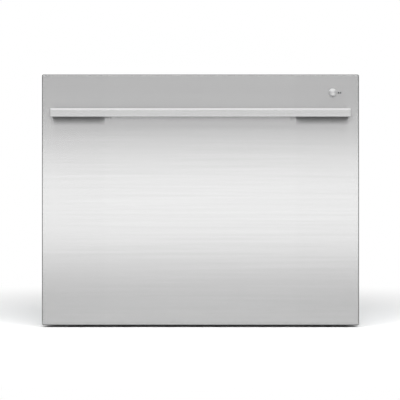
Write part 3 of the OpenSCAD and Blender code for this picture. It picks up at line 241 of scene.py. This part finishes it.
def moulded(name, look):
    # injection-moulded plastic: an even spark-eroded texture, slightly cloudy, edges rubbed lighter
    return layFinish(name, look, {"IOR": look["ior"], "Coat Weight": look.get("coat", 0.0),
                                  "Coat Roughness": 0.2})["material"]


runnerStrip = {
    "dark": "#8a8f92", "light": "#a3a8ab", "worn": "#c2c6c8", "wear": 0.6, "edge": 0.0003,
    "smooth": 0.26, "rough": 0.4, "cloud": (30, 12, 30), "grain": (700, 12, 700), "relief": 0.08, "depth": 0.0002,
}
satinSheet = dict(runnerStrip, dark="#a5a7a7", light="#b6b8b8", smooth=0.24, rough=0.34, grain=(500, 30, 500))
screwPlating = dict(runnerStrip, dark="#999c9d", light="#b5b7b8", grain=(900, 900, 900))
# talc-filled polypropylene: pale grey, faintly waxy, with a satin skin
tubPlastic = {
    "dark": "#c2c5c5", "light": "#cdd0cf", "worn": "#dadcdb", "wear": 0.4, "edge": 0.0012, "ior": 1.49,
    "smooth": 0.3, "rough": 0.42, "cloud": (9, 9, 9), "grain": (420, 420, 420), "relief": 0.07, "depth": 0.0003,
}
greyPlastic = dict(tubPlastic, dark="#7b8082", light="#8a8f91", worn="#9ca1a3", edge=0.0008, smooth=0.38, rough=0.5,
                   cloud=(16, 16, 16), grain=(800, 800, 800), relief=0.14)
# glass-filled nylon: black-grey and dull, with a coarser grain
darkPlastic = dict(greyPlastic, dark="#25272a", light="#33363a", worn="#4b4e52", ior=1.53, smooth=0.44, rough=0.58)
# acetal: milky white with a soft gloss
whitePlastic = dict(tubPlastic, dark="#dad9d0", light="#e6e5de", worn="#efeee8", ior=1.48, edge=0.0004,
                    cloud=(40, 40, 40))
# extruded EPDM: matt black with a dusty bloom, lighter where it is rubbed
sealRubber = dict(greyPlastic, dark="#1b1c1d", light="#2e2f30", worn="#3d3e3f", ior=1.52, smooth=0.6, rough=0.75,
                  cloud=(60, 60, 60), grain=(900, 900, 900), relief=0.16)
# steel wire dipped in nylon: a smooth, thick coat that pools a little
wireCoat = dict(tubPlastic, dark="#a7abad", light="#b9bdbe", worn="#c8cbcc", ior=1.53, coat=0.3, smooth=0.28,
                rough=0.38, cloud=(80, 80, 80), grain=(150, 150, 150), edge=0.0005, relief=0.1, depth=0.0004)
# polycarbonate, smoked and polished
lensPlastic = dict(darkPlastic, dark="#1f2021", light="#28292b", worn="#5a5d60", ior=1.58, smooth=0.12, rough=0.2,
                   edge=0.0002, relief=0.02)
# die-casting, dark grey as a painted shade that darkens the panel below it by reflection: a fine orange-peel skin
shadeDarkPostLook = dict(darkPlastic, dark="#3b3c3d", light="#444546", worn="#5c5d5e", smooth=0.45, rough=0.58,
                grain=(600, 600, 600), relief=0.2)

buttonLow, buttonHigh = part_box("start_button")
buttonAxis = ((buttonLow.x + buttonHigh.x) / 2, buttonLow.y, (buttonLow.z + buttonHigh.z) / 2)
# postInner is how far each post's inner side stands from the middle
# the fold colour and the colour under the posts are painted shade
panelSteel = brushedStainless("brushedStainlessPanel", dict(
    brushedSteel, fold="#424242", nookShade="#5a5a5a", nookDepth=0.015, postInner=0.1805, wear=0.0))
# the handle's end colour is a painted shade outlining its ends
handleSteel = brushedStainless("brushedStainlessHandle", dict(
    brushedSteel, dark="#a8a8a8", light="#acacac", endShade="#5c5c5c", wear=0.0), linesAcross=(1, 0, 0))
finishes = {
    "brushed_panel": panelSteel,
    "handle_steel": handleSteel,
    "button_steel": turnedMetal("turnedSatinChrome", turnedCap, buttonAxis),
    "galvanised": galvanisedSheet("galvanisedSheet", galvanised),
    "runner_steel": coldRolled("zincPlatedStrip", runnerStrip),
    "wash_steel": coldRolled("satinStainlessSheet", satinSheet),
    "screw_steel": coldRolled("zincPlatedScrew", screwPlating),
    "tub_plastic": moulded("filledPolypropylene", tubPlastic),
    "grey_plastic": moulded("greyPolypropylene", greyPlastic),
    "dark_plastic": moulded("glassFilledNylon", darkPlastic),
    "white_nylon": moulded("naturalAcetal", whitePlastic),
    "seal_rubber": moulded("gasketRubber", sealRubber),
    "coated_wire": moulded("nylonCoatedWire", wireCoat),
    "lens_plastic": moulded("smokedPolycarbonate", lensPlastic),
}
shadeDarkPostFinish = moulded("shadeDarkenedCasting", shadeDarkPostLook)
print("materials made")


# CAD pieces

joinWithin = 2e-6  # points nearer than this, in metres, are one


def smoothSkin(sharpAngle=35):
    # joins the loose triangles and shades them smooth, except over edges steeper than the angle and
    # edges that don't have one face on each side
    tree = bpy.data.node_groups.new("smoothSkin", "GeometryNodeTree")
    for side in ("INPUT", "OUTPUT"):
        tree.interface.new_socket("Geometry", in_out=side, socket_type="NodeSocketGeometry")
    start = addNode(tree, "NodeGroupInput")
    joined = addNode(tree, "GeometryNodeMergeByDistance", {"Distance": joinWithin}, {"Geometry": start.outputs[0]})
    smooth = addNode(tree, "GeometryNodeSetShadeSmooth", {"domain": "FACE"}, {"Geometry": joined.outputs[0]})
    turn = addNode(tree, "GeometryNodeInputMeshEdgeAngle")
    steep = addNode(tree, "FunctionNodeCompare", {"operation": "GREATER_THAN", 1: math.radians(sharpAngle)},
                    {0: turn.outputs[0]})
    beside = addNode(tree, "GeometryNodeInputMeshEdgeNeighbors")
    odd = addNode(tree, "FunctionNodeCompare", {"data_type": "INT", "operation": "NOT_EQUAL"})
    for socket in odd.inputs:
        if socket.type == "INT" and socket.name == "B":
            socket.default_value = 2
        elif socket.type == "INT":
            tree.links.new(beside.outputs[0], socket)
    either = addNode(tree, "FunctionNodeBooleanMath", {"operation": "OR"}, {0: steep.outputs[0], 1: odd.outputs[0]})
    creased = addNode(tree, "GeometryNodeSetShadeSmooth", {"domain": "EDGE", "Shade Smooth": False},
                      {"Geometry": smooth.outputs[0], "Selection": either.outputs[0]})
    addNode(tree, "NodeGroupOutput", None, {"Geometry": creased.outputs[0]})
    return tree


skin = smoothSkin()
for part in frame["record"]["subparts"]:
    node = cadNodes[part["node"]]
    node.data.materials.clear()
    # the posts take the dark grey casting, a painted shade seen in the panel's reflection under them
    isPost = part["node"].startswith("handle_post")
    node.data.materials.append(shadeDarkPostFinish if isPost else finishes[part["material_slot"]])
    node.modifiers.new("smoothSkin", "NODES").node_group = skin
    node.modifiers.new("evenShading", "WEIGHTED_NORMAL").keep_sharp = True


# surfaces

def gridFaces(rows, columns, first=0):
    # quads between neighbouring rows of points, each row being a closed loop
    row, column = np.meshgrid(np.arange(rows - 1), np.arange(columns), indexing="ij")
    after = (column + 1) % columns
    quads = np.stack([row * columns + column, row * columns + after,
                      (row + 1) * columns + after, (row + 1) * columns + column], -1)
    return (quads.reshape(-1, 4) + first).tolist()


def roundedRectangle(halfWidth, halfHeight, radius, points):
    # four quarter circles of that radius, anticlockwise, joined by the straight sides between them
    turn = np.linspace(0, np.pi / 2, points)
    angle = np.concatenate([turn + k * np.pi / 2 for k in range(4)])
    right = np.repeat([1, -1, -1, 1], points) * (halfWidth - radius)
    up = np.repeat([1, 1, -1, -1], points) * (halfHeight - radius)
    return np.stack([right + radius * np.cos(angle), up + radius * np.sin(angle)], -1)


def roundedOutline(corners, radii, points):
    # each corner becomes an arc that touches both of its sides: the tangent length is r / tan(half the
    # corner's angle), and the arc's middle lies on the bisector at r / sin(half the angle)
    corners, radii = np.array(corners, float), np.array(radii, float)[:, None]
    back = np.roll(corners, 1, 0) - corners
    ahead = np.roll(corners, -1, 0) - corners
    back /= np.linalg.norm(back, axis=1, keepdims=True)
    ahead /= np.linalg.norm(ahead, axis=1, keepdims=True)
    half = np.arccos(np.clip((back * ahead).sum(1, keepdims=True), -1, 1)) / 2
    middle = back + ahead
    middle /= np.linalg.norm(middle, axis=1, keepdims=True)
    centre = corners + middle * radii / np.sin(half)
    start = corners + back * radii / np.tan(half) - centre
    end = corners + ahead * radii / np.tan(half) - centre
    share = np.linspace(0, 1, points)[None, :, None]
    sweep = np.pi - 2 * half[:, None, :]
    arc = (np.sin((1 - share) * sweep) * start[:, None] + np.sin(share * sweep) * end[:, None]) / np.sin(sweep)
    return (centre[:, None] + arc).reshape(-1, 2)


def makePiece(name, points, faces, material, body, replaced, sharpAngle=40):
    # doubles are merged and normals turned outwards; only real creases stay sharp
    mesh = bpy.data.meshes.new(name)
    mesh.from_pydata(np.asarray(points).tolist(), [], faces)
    shell = bmesh.new()
    shell.from_mesh(mesh)
    bmesh.ops.remove_doubles(shell, verts=shell.verts, dist=joinWithin)
    bmesh.ops.recalc_face_normals(shell, faces=shell.faces)
    shell.to_mesh(mesh)
    shell.free()
    mesh.shade_smooth()
    mesh.set_sharp_from_angle(angle=math.radians(sharpAngle))
    mesh.materials.append(material)
    piece = bpy.data.objects.new(name, mesh)
    scene.collection.objects.link(piece)
    weighted = piece.modifiers.new("evenShading", "WEIGHTED_NORMAL")
    weighted.keep_sharp = True
    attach(piece, body)
    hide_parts(replaced)
    return piece


# front panel

foldedPanel = {"cornerRadius": 0.003, "bendRadius": 0.002, "skin": 0.001, "cornerPoints": 9, "bendPoints": 7,
               "buttonHole": 0.007, "screwHole": 0.0028, "screwPlaces": (0.205, 0.254), "holePoints": 32,
              "windowSpacing": 0.0036, "windowGap": 0.00005, "windowRadius": 0.0009, "windowPoints": 5}


def panelFold(low, high, settings):
    # the sheet's section, as inset from the outline and depth: round the front bend, back along the
    # return, over its end and the same way forward on the inside
    bend, skin = settings["bendRadius"], settings["skin"]
    turn = np.linspace(0, np.pi / 2, settings["bendPoints"])
    outer = np.stack([bend * (1 - np.sin(turn)), low.y + bend * (1 - np.cos(turn))], -1)
    inner = np.stack([bend - (bend - skin) * np.sin(turn), low.y + bend - (bend - skin) * np.cos(turn)], -1)[::-1]
    return np.concatenate([outer, [[0, high.y], [skin, high.y]], inner])


def makePanel(settings):
    low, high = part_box("front_panel")
    middle = (low + high) / 2
    lensLow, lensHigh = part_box("status_lenses")
    section = panelFold(low, high, settings)
    loops = [roundedRectangle(high.x - middle.x - inset, high.z - middle.z - inset,
                              settings["cornerRadius"] - inset, settings["cornerPoints"]) for inset, _ in section]
    loops = np.array(loops) + (middle.x, middle.z)
    depth = np.broadcast_to(section[:, 1, None, None], (*loops.shape[:2], 1))
    points = np.concatenate([loops[..., :1], depth, loops[..., 1:]], -1).reshape(-1, 3)
    faces = gridFaces(*loops.shape[:2])
    turn = np.linspace(0, 2 * np.pi, settings["holePoints"], endpoint=False)
    circle = np.stack([np.cos(turn), np.sin(turn)], -1)
    postZ = (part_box("handle_bar")[0].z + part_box("handle_bar")[1].z) / 2
    holes = [(circle * settings["buttonHole"] + (buttonAxis[0], buttonAxis[2]))]
    holes += [circle * settings["screwHole"] + (side * x, postZ) for side in (-1, 1) for x in settings["screwPlaces"]]
    gap = settings["windowGap"]
    lensHalf = ((lensHigh.x - lensLow.x) - settings["windowSpacing"]) / 2 + gap
    for x in (lensLow.x + lensHalf - gap, lensHigh.x - lensHalf + gap):
        slot = roundedRectangle(lensHalf, (lensHigh.z - lensLow.z) / 2 + gap,
                                settings["windowRadius"], settings["windowPoints"])
        holes.append(slot + (x, (lensLow.z + lensHigh.z) / 2))
    # the front and back of the flat are filled between the outline and the holes
    for y, rim in ((low.y, loops[0]), (low.y + settings["skin"], loops[-1])):
        flats = [rim, *holes]
        starts = np.cumsum([0] + [len(f) for f in flats])
        edges = [(int(s + k), int(s + (k + 1) % len(f))) for s, f in zip(starts, flats) for k in range(len(f))]
        filled = delaunay_2d_cdt([Vector(p) for p in np.concatenate(flats)], edges, [], 1, 1e-7)
        plane = np.array([tuple(p) for p in filled[0]])
        triangles = np.array([list(f) for f in filled[2]])
        centre = plane[triangles].mean(1)
        keep = np.ones(len(triangles), bool)
        for hole in holes:
            reach = (hole.max(0) - hole.min(0)) / 2
            away = np.abs(centre - hole.mean(0)) / reach
            keep &= ~((away < 1).all(1) & ((away ** (2 if len(hole) == settings["holePoints"] else 8)).sum(1) < 1))
        first = len(points)
        points = np.concatenate([points, np.insert(plane, 1, y, 1)])
        faces += (triangles[keep] + first).tolist()
    for hole in holes:
        first = len(points)
        ring = np.concatenate([np.insert(hole, 1, low.y, 1), np.insert(hole, 1, low.y + settings["skin"], 1)])
        points = np.concatenate([points, ring])
        faces += gridFaces(2, len(hole), first)
    return makePiece("foldedPanel", points, faces, panelSteel, "drawer", "front_panel")


makePanel(foldedPanel)


# handle bar

barProfile = {"bevel": 0.0038, "lowerEdge": 0.0011, "backEdge": 0.001, "grooveEdge": 0.0006, "grooveRound": 0.012,
              "shoulder": 0.0003, "endEase": 0.0007,
              "grooveDepth": 0.0015, "grooveHalf": 0.0051, "arcPoints": 7, "endPoints": 5}


def makeBar(settings):
    # section in (depth, height): a wide bevel along the upper front edge, eased lower edges and a
    # finger groove in the back; near both ends it shrinks along a quarter circle
    low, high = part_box("handle_bar")
    bevel = settings["bevel"]
    middleZ = (low.z + high.z) / 2
    outline = roundedOutline(
        [(low.y, low.z), (high.y, low.z), (high.y, middleZ - settings["grooveHalf"]),
         (high.y - settings["grooveDepth"], middleZ), (high.y, middleZ + settings["grooveHalf"]),
         (high.y, high.z), (low.y + bevel, high.z), (low.y, high.z - bevel)],
        [settings[edge] for edge in ("lowerEdge", "backEdge", "grooveEdge", "grooveRound", "grooveEdge",
                                     "backEdge", "shoulder")] + [settings["shoulder"] * 0.7],
        settings["arcPoints"])
    turn = np.linspace(0, np.pi / 2, settings["endPoints"])
    ease = settings["endEase"]
    inset = ease * (1 - np.sin(turn))
    along = ease * (1 - np.cos(turn))
    along = np.concatenate([low.x + along, high.x - along[::-1]])
    inset = np.concatenate([inset, inset[::-1]])
    centre = np.array([(low.y + high.y) / 2, middleZ])
    half = np.array([(high.y - low.y) / 2, (high.z - low.z) / 2])
    rings = centre + (outline - centre)[None] * (1 - inset[:, None, None] / half)
    points = np.concatenate([np.broadcast_to(along[:, None, None], (*rings.shape[:2], 1)), rings], -1).reshape(-1, 3)
    count = len(outline)
    faces = gridFaces(len(along), count)
    faces += [list(range(count)), list(range(len(points) - count, len(points)))]
    return makePiece("brushedBar", points, faces, handleSteel, "drawer", "handle_bar")


makeBar(barProfile)


# button, collar and windows

capProfile = {"dome": 0.00015, "edge": 0.00035, "foot": 0.001, "footHeight": 0.0013, "steps": 96, "ringPoints": 14}


def turnedSurface(profile, steps, axis):
    # a profile of (radius, depth) carried round the Y axis through that place
    turn = np.linspace(0, 2 * np.pi, steps, endpoint=False)
    radius = np.repeat(profile[:, 0], steps).reshape(-1, steps)
    points = np.stack([axis[0] + radius * np.cos(turn), np.broadcast_to(profile[:, 1, None], radius.shape),
                       axis[2] + radius * np.sin(turn)], -1)
    return points.reshape(-1, 3), gridFaces(len(profile), steps)


def makeCap(settings):
    # shallow dome, rounded rim, straight side and a wider foot behind the panel
    low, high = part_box("start_button")
    foot = (high.x - low.x) / 2
    radius = foot - settings["foot"]
    face = low.y + settings["dome"]
    edge = settings["edge"]
    out = np.linspace(0, 1, settings["ringPoints"])
    dome = np.stack([out * (radius - edge), low.y + settings["dome"] * out ** 2], -1)
    turn = np.linspace(0, np.pi / 2, 7)[1:]
    rim = np.stack([radius - edge + edge * np.sin(turn), face + edge * (1 - np.cos(turn))], -1)
    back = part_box("button_dome")[0].y
    step = back - settings["footHeight"]
    profile = np.concatenate([dome, rim, [[radius, step], [foot, step], [foot, back], [0, back]]])
    points, faces = turnedSurface(profile, settings["steps"], buttonAxis)
    return makePiece("turnedCap", points, faces, finishes["button_steel"], "button", "start_button")


makeCap(capProfile)

collarProfile = {"width": 0.001, "wall": 0.0005, "crest": 0.0003, "slope": 0.0008, "drop": 0.0002, "stand": 0.0009,
                 "radii": (0.00005, 0.0001, 0.00015, 0.0002, 0.00005, 0.00005, 0.00005), "steps": 96, "arcPoints": 5}


def makeCollar(settings):
    # a closed section, rounded at its crest, carried round the button's axis: the inner wall, the
    # crest, the slope down to the sheet and the neck through it
    low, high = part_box("button_bezel")
    outer = (high.x - low.x) / 2
    inner = outer - settings["width"]
    crest = settings["crest"]
    sheet = low.y + settings["stand"]
    neck = inner + settings["wall"]
    section = roundedOutline(
        [(inner, high.y), (inner, low.y + crest), (inner + crest, low.y),
         (inner + settings["slope"], low.y + settings["drop"]), (outer, sheet), (neck, sheet), (neck, high.y)],
        settings["radii"], settings["arcPoints"])
    points, faces = turnedSurface(np.concatenate([section, section[:1]]), settings["steps"], buttonAxis)
    return makePiece("turnedCollar", points, faces, finishes["button_steel"], "drawer", "button_bezel")


makeCollar(collarProfile)

windowProfile = {"spacing": 0.0036, "radius": 0.00085, "ease": 0.00015, "crown": 0.0006, "crownHeight": 0.00002,
                 "easePoints": 5, "cornerPoints": 9}


def makeWindows(settings):
    # two light pipes: loops of the rounded outline go back from a small crown over an eased edge
    low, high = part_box("status_lenses")
    halfWidth = (high.x - low.x - settings["spacing"]) / 2
    middle = (low + high) / 2
    ease = settings["ease"]
    turn = np.linspace(0, np.pi / 2, settings["easePoints"])
    inset = np.concatenate([[settings["crown"]], ease * (1 - np.sin(turn)), [0]])
    depth = np.concatenate([[low.y], low.y + settings["crownHeight"] + ease * (1 - np.cos(turn)), [high.y]])
    loops = np.array([roundedRectangle(halfWidth - i, (high.z - low.z) / 2 - i, settings["radius"] - i,
                                       settings["cornerPoints"]) for i in inset])
    rows, count = loops.shape[:2]
    points, faces = [], []
    for side in (-0.5, 0.5):
        first = len(points) * rows * count
        placed = loops + (middle.x + side * settings["spacing"], middle.z)
        depths = np.broadcast_to(depth[:, None, None], (rows, count, 1))
        points.append(np.concatenate([placed[..., :1], depths, placed[..., 1:]], -1).reshape(-1, 3))
        faces += gridFaces(rows, count, first)
        faces += [list(range(first, first + count)), list(range(first + (rows - 1) * count, first + rows * count))]
    return makePiece("easedWindows", np.concatenate(points), faces, finishes["lens_plastic"], "drawer",
                     "status_lenses")


makeWindows(windowProfile)
print("front pieces made")


# camera, light and floor

photo = {
    "pixels": 400, "panelWidthPixels": 317.3, "panelMiddle": (200.5, 199.9),
    "distance": 2.5, "sensor": 36.0,
}
panelLow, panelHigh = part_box("front_panel")
panelWidth = panelHigh.x - panelLow.x
panelMiddleZ = (panelLow.z + panelHigh.z) / 2
metresPerPixel = panelWidth / photo["panelWidthPixels"]


def placeCamera():
    # straight on at the panel's middle, so that the panel fills as many pixels as in the photo
    data = bpy.data.cameras.new("camera")
    data.sensor_width = photo["sensor"]
    data.lens = photo["sensor"] * photo["distance"] / (photo["pixels"] * metresPerPixel)
    half = photo["pixels"] / 2
    data.shift_x = (half - photo["panelMiddle"][0]) / photo["pixels"]
    data.shift_y = (photo["panelMiddle"][1] - half) / photo["pixels"]
    camera = bpy.data.objects.new("camera", data)
    scene.collection.objects.link(camera)
    camera.location = (0, panelLow.y - photo["distance"], panelMiddleZ)
    camera.rotation_euler = (math.pi / 2, 0, 0)
    scene.camera = camera


softLights = {
    # name: (place, aim, width, height, watts, spread in degrees)
    # a narrow strip on the camera's line gives the panel's bright middle, a low one its lower half
    "frontStrip": ((0, -1.165, 0.231), (0, 0, 0.231), 2.4, 0.3, 3.85, 180),
    "lowStrip": ((0, -1.165, 0.06), (0, 0, 0.06), 2.4, 0.08, 0.2, 180),
    # above the front: what the handle keeps from the panel below it
    "upperBox": ((0, -1.3, 1.1), (0, -0.24, 0.3), 2.8, 0.45, 26, 180),
    "overhead": ((0, -0.9, 2.6), (0, 0, 0.1), 3.2, 2.4, 22, 180),
    "leftFill": ((-2.8, -1.2, 1.3), (0, 0, 0.2), 1.6, 1.8, 5, 180),
    "backFill": ((1.4, 2.8, 1.6), (0, 0, 0.2), 2.0, 1.6, 12, 180),
}


def addLights():
    for name, (place, aim, width, height, watts, spreadAngle) in softLights.items():
        data = bpy.data.lights.new(name, "AREA")
        data.shape = "RECTANGLE"
        data.size, data.size_y, data.energy = width, height, watts
        data.spread = math.radians(spreadAngle)
        lamp = bpy.data.objects.new(name, data)
        scene.collection.objects.link(lamp)
        lamp.location = place
        towards = [a - p for a, p in zip(aim, place)]
        yaw = math.atan2(towards[0], -towards[1])
        pitch = math.atan2(math.hypot(towards[0], towards[1]), -towards[2])
        lamp.rotation_euler = (pitch, 0, math.pi + yaw)
        lamp.visible_camera = False


room = {"fill": 0.55, "floorHex": "#f6f6f6", "floorHalf": 12.0, "plainWithin": 0.45, "whiteBeyond": 1.1}


def roomStrength(tree):
    # 1, which is white, to the camera and in reflections, and dimmer as a light on matt surfaces
    rays = addNode(tree, "ShaderNodeLightPath")
    seen = addNode(tree, "ShaderNodeMath", {"operation": "ADD"},
                   {0: rays.outputs["Is Camera Ray"], 1: rays.outputs["Is Glossy Ray"]})
    seen = addNode(tree, "ShaderNodeMath", {"operation": "ADD", "use_clamp": True},
                   {0: seen.outputs[0], 1: rays.outputs["Is Transmission Ray"]})
    return addNode(tree, "ShaderNodeMapRange", {3: room["fill"], 4: 1.0}, {0: seen.outputs[0]}).outputs[0]


def whiteWorld():
    world = bpy.data.worlds.new("paleRoom")
    world.use_nodes = True
    tree = world.node_tree
    tree.nodes.clear()
    sky = addNode(tree, "ShaderNodeBackground", {"Color": (1, 1, 1, 1)}, {"Strength": roomStrength(tree)})
    addNode(tree, "ShaderNodeOutputWorld", None, {"Surface": sky.outputs[0]})
    scene.world = world


def paleFloor():
    # a plain pale floor that keeps the shadow near the object and runs out to white
    half = room["floorHalf"]
    mesh = bpy.data.meshes.new("floor")
    mesh.from_pydata([(-half, -half, 0), (half, -half, 0), (half, half, 0), (-half, half, 0)], [], [(0, 1, 2, 3)])
    floor = bpy.data.objects.new("floor", mesh)
    scene.collection.objects.link(floor)
    material, tree, surface, place = startMaterial("paleSweep", {
        "Base Color": fromHex(room["floorHex"]), "Roughness": 0.9, "Specular IOR Level": 0.1})
    away = addNode(tree, "ShaderNodeVectorMath", {"operation": "LENGTH"}, {0: place}).outputs["Value"]
    share = addNode(tree, "ShaderNodeMapRange", {
        "interpolation_type": "SMOOTHSTEP", 1: room["plainWithin"], 2: room["whiteBeyond"]}, {0: away})
    glow = addNode(tree, "ShaderNodeEmission", {"Color": (1, 1, 1, 1)}, {"Strength": roomStrength(tree)})
    mixed = addNode(tree, "ShaderNodeMixShader", None,
                    {0: share.outputs[0], 1: surface.outputs["BSDF"], 2: glow.outputs[0]})
    output = next(node for node in tree.nodes if node.bl_idname == "ShaderNodeOutputMaterial")
    tree.links.new(mixed.outputs[0], output.inputs["Surface"])
    mesh.materials.append(material)


placeCamera()
addLights()
whiteWorld()
paleFloor()
scene.view_settings.view_transform = "Standard"
print("camera, light and floor placed")
